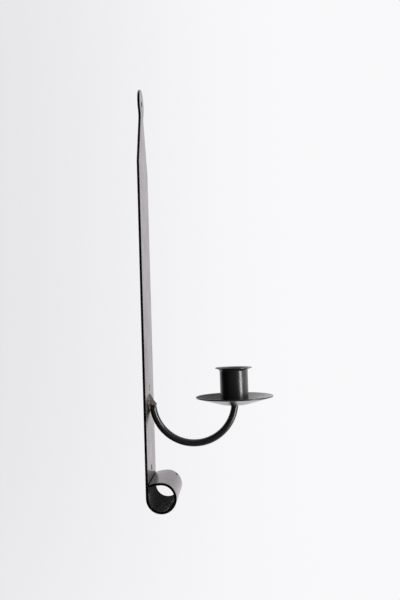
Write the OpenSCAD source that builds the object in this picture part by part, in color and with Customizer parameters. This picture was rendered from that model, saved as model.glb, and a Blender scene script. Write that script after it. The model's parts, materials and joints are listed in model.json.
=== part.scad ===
// Wall sconce candle holder: a hanging strap with a rolled foot, a U-shaped rod arm brazed
// to it, and a dished pan with a candle cup on the arm's free end.
//
// Frame: the origin is on the axis of the hanging hole, in the plane of the wall.
// +Z is up, the wall is on the +Y side and the arm reaches towards -Y.

/* [Back plate] */
// Width of the strap
plate_w = 50; // [44:1:56]
// Thickness of the strap
plate_t = 2; // [1.5:0.25:3]
// Distance from the hanging hole down to the lowest point of the rolled foot
plate_drop = 344; // [330:1:360]
// Diameter of the round hanging eye
eye_d = 24.4; // [22:0.2:27]
// Width of the neck under the eye
neck_w = 15.6; // [13:0.2:18]
// Distance from the hanging hole down to the middle of the neck
neck_drop = 12.3; // [11.5:0.1:14]
// Distance from the hanging hole down to the shoulders, where the full width starts
shoulder_drop = 55.5; // [50:0.5:70]
// Diameter of the two screw holes
screw_hole_d = 5; // [4:0.5:6]
// Distance from the hanging hole down to the lower screw hole
low_hole_drop = 311.4; // [306:0.2:314]

/* [Rolled foot] */
// Outer diameter of the roll
roll_d = 25; // [20:0.5:28]
// Bend radius of the last stretch, which opens out towards the strap
lip_bend_r = 30; // [26:1:40]
// Gap between the lip and the front of the strap
lip_gap = 0.25; // [0.2:0.05:0.6]

/* [Arm] */
// Diameter of the rod
rod_d = 6; // [5:0.5:7]
// Bend radius of the rod's centreline
arm_bend_r = 34.8; // [32:0.2:38]
// Distance from the hanging hole down to the bend's centre
arm_drop = 257.2; // [250:0.2:260]
// Depth of the flat filed on the rod where it lies on the strap
seat_flat = 0.5; // [0.3:0.1:0.8]
// Height of the hammered tip above the bend's centre
tip_rise = 7; // [5:0.5:9]
// Width of the hammered tip at its root
tip_w = 16; // [10:1:18]
// Thickness of the hammered tip at its edge
tip_t = 0.8; // [0.5:0.1:1.5]

/* [Drip pan] */
// Diameter of the pan
pan_d = 65.4; // [60:0.2:72]
// Thickness of the pan's sheet
pan_t = 1.2; // [0.8:0.1:1.5]
// Distance from the hanging hole down to the underside of the pan's floor
pan_drop = 261; // [260.2:0.2:263]
// Radius of the flat middle of the pan's floor
pan_flat_r = 5; // [4.5:0.5:7]
// Bend radius between the pan's floor and its side
pan_bend_r = 30; // [20:1:36]
// Slope of the pan's side, in degrees
pan_slope = 15.3; // [12:0.1:18]

/* [Candle cup] */
// Inner diameter of the cup, for a standard taper candle
cup_bore_d = 22; // [20:0.2:24]
// Thickness of the cup's wall
cup_wall = 0.85; // [0.8:0.05:1.2]
// Thickness of the cup's bottom in its middle
cup_floor_t = 1.7; // [1.5:0.1:2.5]
// Height of the cup's rim above the underside of the pan
cup_top = 31.6; // [26:0.2:36]
// Diameter of the cup's flared rim
rim_d = 31; // [29.5:0.5:34]
// Bend radius of the flare, at the middle of the sheet
flare_r = 2.9; // [2.4:0.1:3.2]
// Angle through which the flare bends outwards
flare_angle = 80; // [70:1:85]

/* [Fixing] */
// Diameter of the screw's shank
screw_d = 3; // [2.5:0.5:3]
// Depth of the screw in the end of the arm
screw_depth = 4.5; // [3:0.5:5]
// Diameter of the screw's head
screw_head_d = 6; // [5.5:0.5:7]
// Height of the screw's countersunk head
screw_head_h = 1.5; // [1.2:0.1:1.5]
// Width of the screw's slot
slot_w = 1; // [0.8:0.1:1.2]
// Size of the braze fillets, measured along each of the two surfaces
braze_leg = 1.4; // [1:0.1:1.8]

/* [Hidden] */
$fn = 96;

// Straight stretches in each arc of the pan's section
arc_steps = 8;

// Allowance by which cutting shapes run past the faces that they cut
cut = 1;

// Colours
paint_black = [0.07, 0.07, 0.075];
brass = [0.62, 0.42, 0.2];
zinc = [0.6, 0.6, 0.62];

// Back plate
eye_r = eye_d / 2;
plate_half_w = plate_w / 2;
screw_hole_r = screw_hole_d / 2;
// The neck's fillet touches the eye's circle, which fixes its radius
neck_half_w = neck_w / 2;
neck_fillet_r =
    (eye_r * eye_r - neck_drop * neck_drop - neck_half_w * neck_half_w)
    / (2 * (neck_half_w - eye_r));
neck_fillet_x = neck_half_w + neck_fillet_r;

// Rolled foot
roll_r = roll_d / 2;
roll_y = -roll_r;
roll_z = roll_r - plate_drop;
lip_z = roll_z + roll_r - plate_t / 2 - lip_bend_r;
lip_run = roll_r - 1.5 * plate_t - lip_gap;
lip_angle = asin(lip_run / lip_bend_r);

// Arm
rod_r = rod_d / 2;
rod_seat_y = -plate_t - rod_r + seat_flat;
bend_y = rod_seat_y - arm_bend_r;
end_depth = pan_drop - arm_drop;
pan_y = bend_y - sqrt(arm_bend_r * arm_bend_r - end_depth * end_depth);
// Radius of the corners of the hammered tip, and half the width of its ridge
tip_corner_r = 2;
tip_crown = 2.2;
// Thickness of the bed of filler around it
braze_t = tip_t / 2;

// Drip pan, from the underside of its floor
pan_mid_r = pan_bend_r - pan_t / 2;
pan_side_r = pan_flat_r + pan_mid_r * sin(pan_slope);
pan_side_z = pan_t / 2 + pan_mid_r * (1 - cos(pan_slope));
pan_side_l = (pan_d / 2 - pan_t / 2 - pan_side_r) / cos(pan_slope);

// Candle cup, from the underside of the pan's floor
cup_bore_r = cup_bore_d / 2;
cup_r = cup_bore_r + cup_wall;
cup_floor_z = pan_t + cup_floor_t;
flare_x = cup_bore_r + cup_wall / 2 + flare_r;
flange_x = flare_x - flare_r * cos(flare_angle);
flange_l = (rim_d / 2 - cup_wall / 2 - flange_x) / sin(flare_angle);
flange_rise = flange_l * cos(flare_angle);
flare_z = cup_top - cup_wall / 2 - flange_rise - flare_r * sin(flare_angle);

// Point at angle a and distance r from c
function polar(c, r, a) = c + r * [cos(a), sin(a)];

// Points along an arc
function arc_points(c, r, from, to) =
    [for (i = [0:arc_steps]) polar(c, r, from + (to - from) * i / arc_steps)];

// Where the line from the point p touches the circle (c, r), on the circle's left side
function touch(c, r, p) =
    let (
        d = c - p,
        reach = sqrt(d * d - r * r),
        heading = atan2(d[1], d[0]) + atan2(r, reach)
    )
    polar(p, reach, heading);

// Where the neck's fillet meets the eye's circle
function eye_touch(x, z) = [x, z] * eye_r / norm([x, z]);

// Part of a ring between two angles less than half a turn apart
module ring_sector(r, t, from, to) {
    far = 2 * r;
    middle = (from + to) / 2;
    intersection() {
        difference() {
            circle(r + t / 2);
            circle(r - t / 2);
        }
        polygon([
            [0, 0],
            polar([0, 0], far, from),
            polar([0, 0], far, middle),
            polar([0, 0], far, to)
        ]);
    }
}

// Extrude a profile drawn in the plane of Y and Z along X, centred on X = 0
module along_x(length) {
    rotate([90, 0, 90]) linear_extrude(length, center = true) children();
}

// Extrude an outline drawn in the plane of X and Z from Y = 0 towards -Y
module along_minus_y(length) {
    rotate([90, 0, 0]) linear_extrude(length) children();
}

// The strap and its roll, seen from the side
module plate_side() {
    translate([-plate_t, roll_z]) square([plate_t, eye_r + cut - roll_z]);
    translate([roll_y, roll_z]) {
        difference() {
            circle(roll_r);
            circle(roll_r - plate_t);
            square(roll_r + cut);
        }
    }
    translate([roll_y, lip_z]) {
        ring_sector(lip_bend_r, plate_t, 90 - lip_angle, 90);
        translate(polar([0, 0], lip_bend_r, 90 - lip_angle)) circle(plate_t / 2);
    }
}

// The strap and its eye, seen from the front
module plate_front() {
    fillet = [neck_fillet_x, -neck_drop];
    shoulder = [plate_half_w, -shoulder_drop];
    taper_end = touch(fillet, neck_fillet_r, shoulder);
    eye_end = eye_touch(fillet[0], fillet[1]);
    half = [[plate_half_w, -plate_drop - cut], shoulder, taper_end, eye_end];
    other_half = [for (i = [3:-1:0]) [-half[i][0], half[i][1]]];
    difference() {
        union() {
            polygon(concat(half, other_half));
            circle(eye_r);
        }
        translate(fillet) circle(neck_fillet_r);
        mirror([1, 0]) translate(fillet) circle(neck_fillet_r);
    }
}

// A screw hole through the strap, at a distance below the hanging hole
module screw_hole(drop) {
    translate([0, cut, -drop]) along_minus_y(plate_t + 2 * cut) circle(screw_hole_r);
}

module back_plate() {
    color(paint_black)
    difference() {
        intersection() {
            along_x(plate_w + 2 * cut) plate_side();
            translate([0, cut, 0]) along_minus_y(roll_d + 2 * cut) plate_front();
        }
        screw_hole(0);
        screw_hole(low_hole_drop);
    }
}

// Outline of the hammered tip, seen from the front, grown by a margin on every side
module tip_front(grow) {
    side_x = tip_w / 2 - tip_corner_r;
    top_z = tip_rise - tip_corner_r;
    r = tip_corner_r + grow;
    edge = polar([0, 0], r, atan2(side_x, top_z));
    polygon([
        [-side_x, -r],
        [side_x, -r],
        [side_x, 0] + edge,
        [0, top_z] + edge,
        [-edge[0], top_z + edge[1]],
        [-side_x - edge[0], edge[1]]
    ]);
    for (spot = [[-side_x, 0], [side_x, 0], [0, top_z]]) {
        translate(spot) circle(r);
    }
}

// The hammered tip, which slopes from the full rod down to the strap at its edges
module arm_tip() {
    ridge_y = rod_seat_y - rod_r;
    root_z = -tip_corner_r;
    intersection() {
        translate([0, -plate_t, 0]) along_minus_y(rod_d) tip_front(0);
        along_x(tip_w + 2 * cut) polygon([
            [-plate_t, root_z],
            [ridge_y, root_z],
            [ridge_y, 0],
            [-plate_t - tip_t, tip_rise],
            [-plate_t, tip_rise]
        ]);
        translate([0, 0, root_z]) linear_extrude(tip_rise - root_z) polygon([
            [-tip_w / 2, -plate_t],
            [-tip_w / 2, -plate_t - tip_t],
            [-tip_crown, ridge_y],
            [tip_crown, ridge_y],
            [tip_w / 2, -plate_t - tip_t],
            [tip_w / 2, -plate_t]
        ]);
    }
}

// The whole rod before its hole is drilled
module arm_body() {
    difference() {
        union() {
            translate([0, bend_y, -arm_drop])
                rotate([90, 0, 90]) rotate([0, 0, 180])
                    rotate_extrude(angle = 180) translate([arm_bend_r, 0]) circle(rod_r);
            translate([0, 0, -arm_drop]) arm_tip();
        }
        // the strap's front face
        translate([-tip_w, -plate_t, -arm_drop - arm_bend_r]) cube([2 * tip_w, rod_d, 2 * arm_bend_r]);
        // the pan's underside
        translate([-rod_d, pan_y - rod_d, -pan_drop]) cube([2 * rod_d, 2 * rod_d, 2 * rod_d]);
    }
}

module arm() {
    color(paint_black)
    difference() {
        arm_body();
        translate([0, pan_y, -pan_drop - screw_depth]) cylinder(h = screw_depth + cut, r = screw_d / 2);
    }
}

// A thin bed of filler around the hammered tip
module arm_braze() {
    color(brass)
    difference() {
        translate([0, -plate_t, -arm_drop]) along_minus_y(braze_t) tip_front(braze_leg);
        arm_body();
    }
}

// Half of the pan's section, from its axis to its rim
module pan_section() {
    bend = [pan_flat_r, pan_bend_r];
    rim = [pan_side_r, pan_side_z] + polar([0, 0], pan_side_l, pan_slope);
    polygon(concat(
        [[0, 0]],
        arc_points(bend, pan_bend_r, -90, pan_slope - 90),
        arc_points(rim, pan_t / 2, pan_slope - 90, pan_slope + 90),
        arc_points(bend, pan_bend_r - pan_t, pan_slope - 90, -90),
        [[0, pan_t]]
    ));
}

// Place a turned shape on the pan's axis, with its zero height at the underside of the pan's floor
module on_pan() {
    translate([0, pan_y, -pan_drop]) children();
}

module drip_pan() {
    color(paint_black)
    on_pan() {
        difference() {
            rotate_extrude() pan_section();
            translate([0, 0, -cut]) cylinder(h = pan_t + 2 * cut, r = screw_d / 2);
        }
    }
}

// The fillet of filler around the end of the rod, under the pan
module pan_braze() {
    color(brass)
    difference() {
        on_pan() {
            translate([0, 0, -braze_leg]) cylinder(h = braze_leg, r1 = rod_r, r2 = rod_r + braze_leg);
        }
        arm_body();
    }
}

// Half of the cup's section; its bottom takes the shape of the pan that it stands on
module cup_section() {
    difference() {
        translate([0, pan_t]) square([cup_r, cup_floor_t]);
        pan_section();
    }
    translate([cup_bore_r, cup_floor_z]) square([cup_wall, flare_z - cup_floor_z]);
    translate([flare_x, flare_z]) ring_sector(flare_r, cup_wall, 180 - flare_angle, 180);
    translate([flange_x, flare_z + flare_r * sin(flare_angle)]) {
        rotate(90 - flare_angle) {
            translate([0, -cup_wall / 2]) square([flange_l, cup_wall]);
            translate([flange_l, 0]) circle(cup_wall / 2);
        }
    }
}

// The screw's countersunk head, flush with the cup's floor
module screw_head() {
    translate([0, 0, cup_floor_z - screw_head_h])
        cylinder(h = screw_head_h, r1 = screw_d / 2, r2 = screw_head_d / 2);
}

module candle_cup() {
    color(paint_black)
    on_pan() {
        difference() {
            rotate_extrude() cup_section();
            cylinder(h = cup_floor_z + cut, r = screw_d / 2);
            screw_head();
        }
    }
}

// Slotted screw that clamps the cup and the pan to the end of the arm
module cup_screw() {
    shank_h = screw_depth + cup_floor_z - screw_head_h;
    slot_depth = screw_head_h / 2;
    color(zinc)
    on_pan() {
        difference() {
            union() {
                translate([0, 0, -screw_depth]) cylinder(h = shank_h, r = screw_d / 2);
                screw_head();
            }
            translate([-screw_head_d / 2, -slot_w / 2, cup_floor_z - slot_depth])
                cube([screw_head_d, slot_w, slot_depth + cut]);
        }
    }
}

back_plate();
arm();
arm_braze();
drip_pan();
pan_braze();
candle_cup();
cup_screw();
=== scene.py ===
"""Looks of the wall sconce candle holder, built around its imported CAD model."""

import json
import math

import bmesh
import bpy
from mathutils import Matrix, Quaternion, Vector, noise as fractal


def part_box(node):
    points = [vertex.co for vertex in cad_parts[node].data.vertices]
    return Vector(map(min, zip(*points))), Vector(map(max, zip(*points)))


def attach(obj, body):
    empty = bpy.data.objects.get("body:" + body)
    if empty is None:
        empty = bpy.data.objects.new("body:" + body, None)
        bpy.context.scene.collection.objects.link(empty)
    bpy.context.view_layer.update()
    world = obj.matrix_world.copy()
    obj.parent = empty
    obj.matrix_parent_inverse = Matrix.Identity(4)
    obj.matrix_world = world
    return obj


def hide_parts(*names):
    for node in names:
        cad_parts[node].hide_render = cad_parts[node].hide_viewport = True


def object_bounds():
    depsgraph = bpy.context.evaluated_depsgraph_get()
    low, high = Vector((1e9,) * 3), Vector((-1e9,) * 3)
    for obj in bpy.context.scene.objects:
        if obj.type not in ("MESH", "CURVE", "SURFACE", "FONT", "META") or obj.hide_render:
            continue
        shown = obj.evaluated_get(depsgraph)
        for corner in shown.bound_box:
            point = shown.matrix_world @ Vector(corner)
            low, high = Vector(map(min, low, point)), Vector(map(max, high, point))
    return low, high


MM = 0.001

# Camera, in the row's frame: its place, its heading from +X towards +Y, and its pitch and roll
CAMERA_AT = Vector((-0.5449, -0.0776, -0.1984))
CAMERA_HEADING = 3.18
CAMERA_PITCH = 2.81
CAMERA_ROLL = 1.82
CAMERA_LENS = 38.5

# Room: round, with a coved floor and a domed top, far outside every view of the object
ROOM_RADIUS = 3.0
ROOM_HEIGHT = 5.0
COVE_RADIUS = 1.2
FLOOR_DROP = 1.0
# Its two tones, and where along Y the first and the second are reached; the darker first tone, towards
# +Y, is painted shade
ROOM_TONES = (0.78, 0.77, 0.795, 1), (0.945, 0.94, 0.955, 1)
ROOM_FADE = 1.6, -0.4

# Surround: the way to its bright side, its two tones, and how far towards that way each is reached
BRIGHT_WAY = Vector((0.9, -0.4, 0.15)).normalized()
SURROUND_TONES = (0.035, 0.035, 0.037, 1), (1.3, 1.24, 1.28, 1)
SURROUND_FADE = -0.45, 0.7

# Painted shade: a dim glowing card past the roll's far end, inside the roll's outline, which the
# camera never sees and which darkens the roll's inside as a shaded wall behind it would
ROLL_FLAG_GAP = 4 * MM
ROLL_FLAG_INSET = 2 * MM
ROLL_PAINTED_SHADE_GLOW = 0.05
# Painted shade: a dim glowing card behind the pan, which darkens what the pan mirrors as a shadow on a
# wall would: its X, its overlap with the pan along Y, its drop below it and its size
PAN_FLAG_X = 60 * MM
PAN_FLAG_OVERLAP = 27 * MM
PAN_FLAG_DROP = 2 * MM
PAN_FLAG_SIZE = Vector((0, 42, 56)) * MM
PAN_PAINTED_SHADE_GLOW = 0.25

# Edges of the strap
EDGE_ROUNDING = 0.35 * MM
EDGE_ANGLE = 35
WELD_DISTANCE = 1e-6

# Rod of the arm
ROD_RADIUS = 3 * MM
ARM_BEND_RADIUS = 34.8 * MM
SEAT_FLAT = 0.5 * MM
ROD_STEPS = 90
RING_STEPS = 48

# Leaf that the rod's upper end is hammered into. A climb runs from 0 at its root to 1 at its tip.
LEAF_STEPS = 44
LEAF_HALF_WIDTH = 7.4 * MM
LEAF_TIP_HEIGHT = 0.8 * MM
LEAF_ROOT_DROP = 3.4 * MM
LEAF_SLANT = 0.12
LEAF_RIDGE = 1.5
LEAF_TAPER = 1.6
LEAF_ROUNDING = 0.75
LEAF_SLOPE = 1.1
LEAF_LAST_CLIMB = 0.998
WIDEST_CLIMB = 0.3
CREASE_CLIMB = 0.22
BURR_HEIGHT = 0.4 * MM
DENT_DEPTH = 0.3 * MM
DENT_SCALE = 300

# Brazing filler: beads along the leaf and round the rod's end, and drops
LEAF_BEAD = 1.25 * MM
ROD_BEAD = 1.4 * MM
BEAD_TAIL = 2.6 * MM
# Section of a bead: how far out from the edge and how far up from the surface, in bead sizes
BEAD_SECTION = (
    (-0.6, -0.12),
    (-0.6, 0.62),
    (-0.15, 0.66),
    (0.1, 0.46),
    (0.35, 0.25),
    (0.65, 0.1),
    (1, 0.02),
    (1, -0.12),
)
DROP_HEIGHT = 0.22 * MM
DROP_STEPS = 20
# Profile of a drop, from its buried edge to its crown: shares of its radius and its height
DROP_PROFILE = (1, -0.3), (1, 0), (0.85, 0.5), (0.5, 0.88), (0.12, 1)
# Unevenness of the filler: the share by which a size changes, and its features to the metre
BEAD_WIDTH_CHANGE = 0.45, 420
BEAD_HEIGHT_CHANGE = 0.3, 600
DROP_CHANGE = 0.3, 900
# Drops, in mm: place across the strap, height above the leaf's tip or below it, and radius
DROPS = (
    (0.4, 4.0, 0.8),
    (-0.9, 7.0, 0.9),
    (2.1, 5.6, 0.5),
    (-1.2, -14.5, 0.8),
    (1.6, -13.0, 0.5),
)


def add(tree, kind, inputs=(), **settings):
    """Adds a node. inputs gives each socket a value, or the output that drives it."""
    made = tree.nodes.new("ShaderNode" + kind)
    for name, value in settings.items():
        setattr(made, name, value)
    for socket, value in dict(inputs).items():
        if isinstance(value, bpy.types.NodeSocket):
            tree.links.new(value, made.inputs[socket])
        else:
            made.inputs[socket].default_value = value
    return made


def new_material(name):
    """A node material with nothing but its shader: (material, tree, shader)."""
    material = bpy.data.materials.new(name)
    material.use_nodes = True
    tree = material.node_tree
    return material, tree, tree.nodes["Principled BSDF"]


def noise(tree, place, scale, detail=2.0, roughness=0.5):
    """Noise from 0 to 1 with so many features to the metre."""
    inputs = {"Vector": place, "Scale": scale, "Detail": detail, "Roughness": roughness}
    return add(tree, "TexNoise", inputs).outputs["Fac"]


def spread(tree, value, low, high, to_low=0.0, to_high=1.0):
    """A value from low to high, spread smoothly over to_low to to_high."""
    inputs = {"Value": value, "From Min": low, "From Max": high, "To Min": to_low, "To Max": to_high}
    return add(tree, "MapRange", inputs, interpolation_type="SMOOTHSTEP").outputs["Result"]


def blend(tree, share, first, second):
    """The first colour where share is 0 and the second where it is 1."""
    factor, colour_a, colour_b, colour_out = 0, 6, 7, 2
    inputs = {factor: share, colour_a: first, colour_b: second}
    return add(tree, "Mix", inputs, data_type="RGBA").outputs[colour_out]


def times(tree, a, b):
    """The product of two values."""
    return add(tree, "Math", {0: a, 1: b}, operation="MULTIPLY").outputs[0]


def plus(tree, base, value, share):
    """The base, with a share of the value added."""
    return add(tree, "Math", {0: value, 1: share, 2: base}, operation="MULTIPLY_ADD").outputs[0]


def bump(tree, height, distance, below=None):
    """A bump whose height of 1 stands so many metres proud."""
    inputs = {"Height": height, "Distance": distance, "Strength": 1.0}
    if below is not None:
        inputs["Normal"] = below
    return add(tree, "Bump", inputs).outputs["Normal"]


def black_paint():
    """Satin black paint on forged steel: uneven, dusty on top, with rust freckles and worn edges."""
    deep = (0.006, 0.006, 0.0065, 1)
    thin = (0.013, 0.0125, 0.013, 1)
    brushed = (0.019, 0.018, 0.0185, 1)
    dusty = (0.075, 0.07, 0.066, 1)
    rusty = (0.045, 0.022, 0.013, 1)
    bare = (0.13, 0.11, 0.1, 1)
    relief = (55, 0.2 * MM), (240, 0.02 * MM), (1100, 0.0025 * MM)
    streak_scales = (260, 260, 9)

    material, tree, shader = new_material("black_paint")
    place = add(tree, "TexCoord").outputs["Object"]
    surface = add(tree, "NewGeometry")
    patches = noise(tree, place, 45, 4)
    speckle = noise(tree, place, 520, 3, 0.65)
    drawn_out = add(tree, "VectorMath", {0: place, 1: streak_scales}, operation="MULTIPLY")
    streaks = noise(tree, drawn_out.outputs[0], 1, 3)
    upward = add(tree, "SeparateXYZ", {0: surface.outputs["Normal"]}).outputs["Z"]
    dust = times(tree, spread(tree, upward, 0.5, 1), spread(tree, speckle, 0.4, 0.75))
    rounded = add(tree, "Bevel", {"Radius": 0.7 * MM}, samples=4).outputs["Normal"]
    agree = {0: rounded, 1: surface.outputs["True Normal"]}
    agreement = add(tree, "VectorMath", agree, operation="DOT_PRODUCT").outputs["Value"]
    edge = spread(tree, agreement, 0.97, 0.8)
    worn = times(tree, edge, spread(tree, noise(tree, place, 210, 5, 0.7), 0.6, 0.74))
    freckles = spread(tree, noise(tree, place, 330), 0.76, 0.8)

    colour = blend(tree, patches, deep, thin)
    colour = blend(tree, times(tree, streaks, 0.6), colour, brushed)
    colour = blend(tree, times(tree, dust, 0.22), colour, dusty)
    colour = blend(tree, freckles, colour, rusty)
    colour = blend(tree, times(tree, worn, 0.6), colour, bare)
    tree.links.new(colour, shader.inputs["Base Color"])
    tree.links.new(times(tree, worn, 0.6), shader.inputs["Metallic"])

    roughness = spread(tree, patches, 0.3, 0.7, 0.18, 0.22)
    roughness = plus(tree, roughness, streaks, 0.07)
    roughness = plus(tree, roughness, speckle, 0.06)
    roughness = plus(tree, roughness, dust, 0.06)
    tree.links.new(roughness, shader.inputs["Roughness"])

    normal = None
    for scale, height in relief:
        normal = bump(tree, noise(tree, place, scale), height, normal)
    tree.links.new(normal, shader.inputs["Normal"])
    return material


def braze():
    """Brass filler under paint that has come off in places, with brown stains round the bare metal."""
    painted = (0.012, 0.011, 0.011, 1)
    brown = (0.07, 0.042, 0.026, 1)
    brass = (0.33, 0.19, 0.09, 1)

    material, tree, shader = new_material("braze")
    place = add(tree, "TexCoord").outputs["Object"]
    cover = noise(tree, place, 380, 4, 0.6)
    stained = spread(tree, cover, 0.44, 0.52)
    bare = spread(tree, cover, 0.55, 0.63)
    colour = blend(tree, stained, painted, brown)
    colour = blend(tree, bare, colour, brass)
    tree.links.new(colour, shader.inputs["Base Color"])
    tree.links.new(times(tree, bare, 0.8), shader.inputs["Metallic"])
    tree.links.new(spread(tree, cover, 0.45, 0.65, 0.3, 0.5), shader.inputs["Roughness"])
    tree.links.new(bump(tree, noise(tree, place, 900, 3), 0.05 * MM), shader.inputs["Normal"])
    return material


def zinc():
    """Dull, cloudy zinc plate."""
    dull = (0.42, 0.43, 0.45, 1)
    bright = (0.62, 0.62, 0.63, 1)

    material, tree, shader = new_material("zinc_steel")
    place = add(tree, "TexCoord").outputs["Object"]
    cloud = noise(tree, place, 600, 4)
    tree.links.new(blend(tree, cloud, dull, bright), shader.inputs["Base Color"])
    tree.links.new(spread(tree, cloud, 0.3, 0.7, 0.3, 0.45), shader.inputs["Roughness"])
    shader.inputs["Metallic"].default_value = 1.0
    return material


def show(made):
    """Puts a new object into the scene."""
    bpy.context.scene.collection.objects.link(made)


def mesh_object(name, mesh):
    """An object made of a mesh that is being built, which is then used up."""
    data = bpy.data.meshes.new(name)
    mesh.to_mesh(data)
    mesh.free()
    made = bpy.data.objects.new(name, data)
    show(made)
    return made


def add_camera():
    """The camera, which looks at the object's side along the wall."""
    heading = math.radians(CAMERA_HEADING)
    pitch = math.radians(CAMERA_PITCH)
    forward = Vector((math.cos(heading), math.sin(heading), math.tan(pitch))).normalized()
    data = bpy.data.cameras.new("camera")
    data.lens = CAMERA_LENS
    data.clip_start = 0.01
    data.clip_end = 20
    camera = bpy.data.objects.new("camera", data)
    camera.location = CAMERA_AT
    camera.rotation_mode = "QUATERNION"
    roll = Quaternion(forward, math.radians(CAMERA_ROLL))
    camera.rotation_quaternion = roll @ forward.to_track_quat("-Z", "Y")
    show(camera)
    bpy.context.scene.camera = camera


def turned(name, profile, steps):
    """A surface turned round Z, from (radius, height) points. A radius of 0 closes it."""
    mesh = bmesh.new()
    turns = [2 * math.pi * i / steps for i in range(steps)]
    rings = []
    for radius, height in profile:
        if radius == 0:
            rings.append([mesh.verts.new((0, 0, height))] * steps)
            continue
        points = [(radius * math.cos(a), radius * math.sin(a), height) for a in turns]
        rings.append([mesh.verts.new(point) for point in points])
    for lower, upper in zip(rings, rings[1:]):
        for i in range(steps):
            j = (i + 1) % steps
            corners = list(dict.fromkeys([lower[i], lower[j], upper[j], upper[i]]))
            mesh.faces.new(corners).smooth = True
    return mesh_object(name, mesh)


def arc(centre, radius, start, end, steps=16):
    """Points along an arc, with its angles in degrees."""
    turns = [math.radians(start + (end - start) * i / steps) for i in range(steps + 1)]
    return [(centre[0] + radius * math.cos(a), centre[1] + radius * math.sin(a)) for a in turns]


def add_room(centre):
    """A pale room that only the camera sees, so that it lights and mirrors nothing. It glows darker
    towards +Y: painted shade.
    """
    cove = arc((ROOM_RADIUS - COVE_RADIUS, COVE_RADIUS), COVE_RADIUS, -90, 0)
    dome = arc((0, ROOM_HEIGHT - ROOM_RADIUS), ROOM_RADIUS, 0, 84)
    room = turned("room", [(0, 0), *cove, *dome, (0, ROOM_HEIGHT)], 96)
    room.location = (centre.x, centre.y, centre.z - FLOOR_DROP)
    for kind in ("diffuse", "glossy", "transmission", "volume_scatter", "shadow"):
        setattr(room, "visible_" + kind, False)
    material, tree, shader = new_material("room")
    tree.nodes.remove(shader)
    place = add(tree, "TexCoord").outputs["Object"]
    sideways = add(tree, "SeparateXYZ", {0: place}).outputs["Y"]
    # Painted shade: the room's glow darkens towards +Y
    colour = blend(tree, spread(tree, sideways, *ROOM_FADE), *ROOM_TONES)
    glow = add(tree, "Emission", {"Color": colour})
    tree.links.new(glow.outputs[0], tree.nodes["Material Output"].inputs["Surface"])
    room.data.materials.append(material)


def add_surround():
    """Soft light from all round: bright behind the object and to its front, dark by the camera."""
    world = bpy.data.worlds.new("studio")
    bpy.context.scene.world = world
    world.use_nodes = True
    tree = world.node_tree
    way = add(tree, "TexCoord").outputs["Generated"]
    facing = add(tree, "VectorMath", {0: way, 1: BRIGHT_WAY}, operation="DOT_PRODUCT")
    share = spread(tree, facing.outputs["Value"], *SURROUND_FADE)
    tree.links.new(blend(tree, share, *SURROUND_TONES), tree.nodes["Background"].inputs["Color"])


def add_painted_shade_card(name, low, high, glow):
    """An upright dim glowing card across X, which only shades what the surround lights and mirrors:
    painted shade that stands in for a shadowed wall.
    """
    mesh = bmesh.new()
    corners = ((low.y, low.z), (high.y, low.z), (high.y, high.z), (low.y, high.z))
    mesh.faces.new([mesh.verts.new((low.x, y, z)) for y, z in corners])
    card = mesh_object(name, mesh)
    material, _, shader = new_material(name)
    shader.inputs["Base Color"].default_value = (0, 0, 0, 1)
    # Painted shade: the card glows dimly, as the shaded wall it stands in for would
    shader.inputs["Emission Color"].default_value = (1, 1, 1, 1)
    shader.inputs["Emission Strength"].default_value = glow
    card.data.materials.append(material)
    card.visible_camera = False


def add_softbox(name, centre, way, distance, width, height, power):
    """A rectangular lamp that faces the centre from the given way."""
    data = bpy.data.lights.new(name, "AREA")
    data.shape = "RECTANGLE"
    data.size = width
    data.size_y = height
    data.energy = power
    lamp = bpy.data.objects.new(name, data)
    back = Vector(way).normalized()
    lamp.location = centre + back * distance
    lamp.rotation_mode = "QUATERNION"
    lamp.rotation_quaternion = (-back).to_track_quat("-Z", "Y")
    lamp.visible_camera = False
    show(lamp)
    return lamp


def keep_off(lamp, node):
    """Keeps a lamp's light off one node, as a flag in front of the lamp would."""
    shaded = bpy.data.collections.new(lamp.name + "_shaded")
    shaded.objects.link(node)
    shaded.collection_objects[0].light_linking.link_state = "EXCLUDE"
    lamp.light_linking.receiver_collection = shaded


def add_lamps(middle, pan_axis, plate):
    """A broad soft lamp from the wall's side, and a tall narrow one like a window."""
    add_softbox(
        "fill", middle, way=(0.35, 1.0, 0.45), distance=1.8, width=1.4, height=1.4, power=9
    )
    window = add_softbox(
        "window", pan_axis, way=(-0.54, -0.842, 0.0), distance=1.2, width=0.34, height=1.6, power=28
    )
    keep_off(window, plate)


def add_painted_shade_cards():
    """The painted-shade cards behind the roll and behind the pan, which stand in for shadows on a
    wall.
    """
    plate_low, plate_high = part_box("back_plate")
    roll_diameter = -plate_low.y
    behind = plate_high.x + ROLL_FLAG_GAP
    inset = Vector((0, ROLL_FLAG_INSET, ROLL_FLAG_INSET))
    roll_low = Vector((behind, plate_low.y, plate_low.z)) + inset
    roll_high = Vector((behind, 0, plate_low.z + roll_diameter)) - inset
    add_painted_shade_card("painted_shade_card_roll", roll_low, roll_high, ROLL_PAINTED_SHADE_GLOW)
    pan_low, pan_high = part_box("drip_pan")
    card_low = Vector((PAN_FLAG_X, pan_high.y - PAN_FLAG_OVERLAP, pan_low.z - PAN_FLAG_DROP))
    add_painted_shade_card("painted_shade_card_pan", card_low, card_low + PAN_FLAG_SIZE, PAN_PAINTED_SHADE_GLOW)


def soften_edges(node):
    """Rounds the edges of a CAD node, as on sheet that has been cut, filed and painted."""
    weld = node.modifiers.new("weld", "WELD")
    weld.merge_threshold = WELD_DISTANCE
    bevel = node.modifiers.new("edges", "BEVEL")
    bevel.width = EDGE_ROUNDING
    bevel.segments = 3
    bevel.limit_method = "ANGLE"
    bevel.angle_limit = math.radians(EDGE_ANGLE)
    even = node.modifiers.new("shading", "WEIGHTED_NORMAL")
    even.keep_sharp = True


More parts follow.
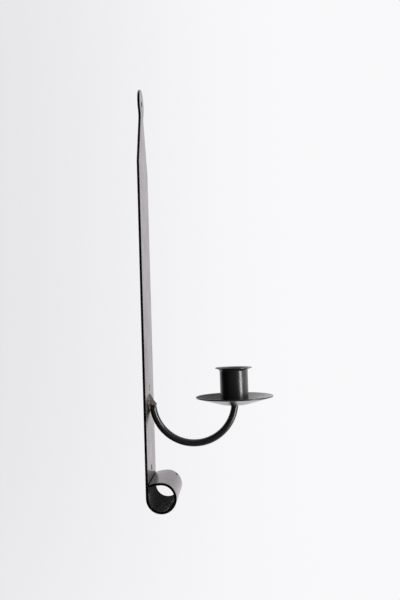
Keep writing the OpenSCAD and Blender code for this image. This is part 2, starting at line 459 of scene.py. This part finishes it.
def smooth(value, low, high):
    """0 below low, 1 above high and an even curve between them."""
    share = min(1.0, max(0.0, (value - low) / (high - low)))
    return share * share * (3 - 2 * share)


def mix(first, second, share):
    """The value at this share of the way from first to second."""
    return first + (second - first) * share


def loft(mesh, rings, closed=False):
    """Joins rings of points by faces, and either caps both ends or joins the last to the first."""
    made = [[mesh.verts.new(point) for point in ring] for ring in rings]
    count = len(made[0])
    following = made[1:] + made[:1] if closed else made[1:]
    for lower, upper in zip(made, following):
        for i in range(count):
            j = (i + 1) % count
            mesh.faces.new((lower[i], lower[j], upper[j], upper[i]))
    if not closed:
        mesh.faces.new(reversed(made[0]))
        mesh.faces.new(made[-1])


def piece(name, mesh, slot, node):
    """Makes a finished piece of a mesh. It rides on the only body and stands for one CAD node."""
    bmesh.ops.recalc_face_normals(mesh, faces=mesh.faces)
    for face in mesh.faces:
        face.smooth = True
    made = mesh_object(name, mesh)
    made.data.materials.append(finishes[slot])
    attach(made, "root")
    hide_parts(node)


def leaf_half_width(climb):
    """Half the leaf's width: it widens quickly from the rod, and then rounds off to its tip."""
    if climb < WIDEST_CLIMB:
        return mix(ROD_RADIUS, LEAF_HALF_WIDTH, smooth(climb, 0, WIDEST_CLIMB))
    past = min(1.0, (climb - WIDEST_CLIMB) / (1 - WIDEST_CLIMB))
    return LEAF_HALF_WIDTH * (1 - past ** LEAF_TAPER) ** LEAF_ROUNDING


def leaf_height(climb):
    """How far the leaf stands off the strap: the whole rod up to a crease, then down to the tip."""
    rod_height = 2 * ROD_RADIUS - SEAT_FLAT
    burr = BURR_HEIGHT * (smooth(climb, 0, CREASE_CLIMB) - smooth(climb, CREASE_CLIMB, 0.5))
    slope = max(0.0, (climb - CREASE_CLIMB) / (1 - CREASE_CLIMB))
    return mix(LEAF_TIP_HEIGHT, rod_height, (1 - slope) ** LEAF_SLOPE) + burr


def arm_section(centre, outward, climb, strap_y):
    """A ring of points round the rod. A climb of 0 or less is the plain rod."""
    height = leaf_height(climb)
    half_height = mix(ROD_RADIUS, height, smooth(climb, 0.05, 0.45))
    sunk = ROD_RADIUS - SEAT_FLAT - (height - half_height)
    ridge = mix(1, LEAF_RIDGE, smooth(climb, 0.1, 0.5))
    ring = []
    for i in range(RING_STEPS):
        turn = 2 * math.pi * i / RING_STEPS
        front = math.sin(turn)
        half_width = leaf_half_width(climb + LEAF_SLANT * front)
        lift = math.copysign(abs(front) ** ridge, front) * half_height
        point = centre + outward * (sunk - lift) + Vector((half_width * math.cos(turn), 0, 0))
        dents = DENT_DEPTH * fractal.noise(point * DENT_SCALE) * smooth(climb, 0, 0.3)
        point += outward * dents
        ring.append(Vector((point.x, min(point.y, strap_y), point.z)))
    return ring


def build_arm(pan_axis):
    """The rod's U, from under the pan round to the strap, where its end is hammered into a leaf."""
    low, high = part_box("arm")
    pan_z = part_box("drip_pan")[0].z
    bend = Vector((0, 0, low.z + ROD_RADIUS + ARM_BEND_RADIUS))
    end_depth = bend.z - pan_z
    bend.y = pan_axis.y + math.sqrt(ARM_BEND_RADIUS ** 2 - end_depth ** 2)
    leaf_length = LEAF_ROOT_DROP + high.z - bend.z
    first_turn = math.pi + math.asin(end_depth / ARM_BEND_RADIUS)
    root_turn = 2 * math.pi - LEAF_ROOT_DROP / ARM_BEND_RADIUS
    rings = []
    for i in range(ROD_STEPS):
        turn = mix(first_turn, root_turn, i / ROD_STEPS)
        outward = Vector((0, math.cos(turn), math.sin(turn)))
        ring = arm_section(bend + outward * ARM_BEND_RADIUS, outward, -1, high.y)
        if i == 0:
            along = Vector((0, -outward.z, outward.y))
            ring = [point + along * ((pan_z - point.z) / along.z) for point in ring]
        rings.append(ring)
    for i in range(LEAF_STEPS + 1):
        climb = LEAF_LAST_CLIMB * i / LEAF_STEPS
        past_bend = climb * leaf_length - LEAF_ROOT_DROP
        turn = min(0.0, past_bend / ARM_BEND_RADIUS)
        outward = Vector((0, math.cos(turn), math.sin(turn)))
        centre = bend + outward * ARM_BEND_RADIUS + Vector((0, 0, max(0.0, past_bend)))
        rings.append(arm_section(centre, outward, climb, high.y))
    mesh = bmesh.new()
    loft(mesh, rings)
    piece("arm_forged", mesh, "black_paint", "arm")


def uneven(point, change, shift=(0, 0, 0)):
    """A factor about 1 that wanders from point to point."""
    share, scale = change
    return 1 + share * fractal.noise(point * scale + Vector(shift))


def bead(mesh, outline, up, size, seed):
    """A bead of filler along a closed outline, which rises from the surface below the outline."""
    centre = sum(outline, Vector()) / len(outline)
    rings = []
    for i, point in enumerate(outline):
        along = (outline[(i + 1) % len(outline)] - outline[i - 1]).normalized()
        outward = along.cross(up)
        if outward.dot(point - centre) < 0:
            outward = -outward
        outward *= size * uneven(point, BEAD_WIDTH_CHANGE, (seed, 0, 0))
        upward = up * size * uneven(point, BEAD_HEIGHT_CHANGE, (0, seed, 0))
        rings.append([point + outward * out + upward * rise for out, rise in BEAD_SECTION])
    loft(mesh, rings, closed=True)


def drop(mesh, centre, up, radius):
    """A flattened drop of filler, sunk a little into the surface and closed underneath."""
    side = up.orthogonal().normalized()
    other = up.cross(side)
    rings = []
    for share, rise in DROP_PROFILE:
        ring = []
        for i in range(DROP_STEPS):
            turn = 2 * math.pi * i / DROP_STEPS
            spoke = side * math.cos(turn) + other * math.sin(turn)
            reach = radius * share * uneven(centre + spoke * radius, DROP_CHANGE)
            ring.append(centre + spoke * reach + up * DROP_HEIGHT * rise)
        rings.append(ring)
    loft(mesh, rings)


def build_arm_filler():
    """The filler round the hammered leaf, with a tail under the rod, and the drops that ran off it."""
    low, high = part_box("arm")
    root_z = low.z + ROD_RADIUS + ARM_BEND_RADIUS - LEAF_ROOT_DROP
    half = []
    for i in range(LEAF_STEPS + 1):
        z = mix(root_z - BEAD_TAIL, high.z, i / LEAF_STEPS)
        if z < root_z:
            x = ROD_RADIUS * math.sqrt(max(0.0, 1 - ((root_z - z) / BEAD_TAIL) ** 2))
        else:
            x = leaf_half_width((z - root_z) / (high.z - root_z))
        half.append((x, z))
    right = [Vector((x, high.y, z)) for x, z in half]
    left = [Vector((-x, high.y, z)) for x, z in reversed(half[1:-1])]
    mesh = bmesh.new()
    off_strap = Vector((0, -1, 0))
    bead(mesh, right + left, off_strap, LEAF_BEAD, seed=3)
    for x, rise, radius in DROPS:
        drop(mesh, Vector((x * MM, high.y, high.z + rise * MM)), off_strap, radius * MM)
    piece("arm_filler", mesh, "braze", "arm_braze")


def build_pan_filler(pan_axis):
    """The filler between the rod's end and the underside of the pan."""
    pan_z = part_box("drip_pan")[0].z
    steps = 40
    turns = [2 * math.pi * i / steps for i in range(steps)]
    circle = [(ROD_RADIUS * math.cos(a), pan_axis.y + ROD_RADIUS * math.sin(a)) for a in turns]
    mesh = bmesh.new()
    bead(mesh, [Vector((x, y, pan_z)) for x, y in circle], Vector((0, 0, -1)), ROD_BEAD, seed=11)
    piece("pan_filler", mesh, "braze", "pan_braze")


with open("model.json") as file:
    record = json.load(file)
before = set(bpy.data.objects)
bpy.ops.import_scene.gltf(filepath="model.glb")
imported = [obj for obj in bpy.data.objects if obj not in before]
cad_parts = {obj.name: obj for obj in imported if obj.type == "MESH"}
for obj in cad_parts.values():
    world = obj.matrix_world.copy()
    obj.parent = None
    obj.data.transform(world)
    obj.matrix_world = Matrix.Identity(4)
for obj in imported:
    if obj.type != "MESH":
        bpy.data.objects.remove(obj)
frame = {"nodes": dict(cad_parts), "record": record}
nodes = frame["nodes"]
cad_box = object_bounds()
middle = (cad_box[0] + cad_box[1]) / 2
cup_low, cup_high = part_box("candle_cup")
pan_axis = (cup_low + cup_high) / 2

add_camera()
add_room(middle)
add_surround()
add_lamps(middle, pan_axis, nodes["back_plate"])
add_painted_shade_cards()
bpy.context.scene.view_settings.view_transform = "Standard"

finishes = {"black_paint": black_paint(), "braze": braze(), "zinc_steel": zinc()}
for part in frame["record"]["subparts"]:
    node = nodes[part["node"]]
    node.data.materials.clear()
    node.data.materials.append(finishes[part["material_slot"]])
soften_edges(nodes["back_plate"])
build_arm(pan_axis)
build_arm_filler()
build_pan_filler(pan_axis)
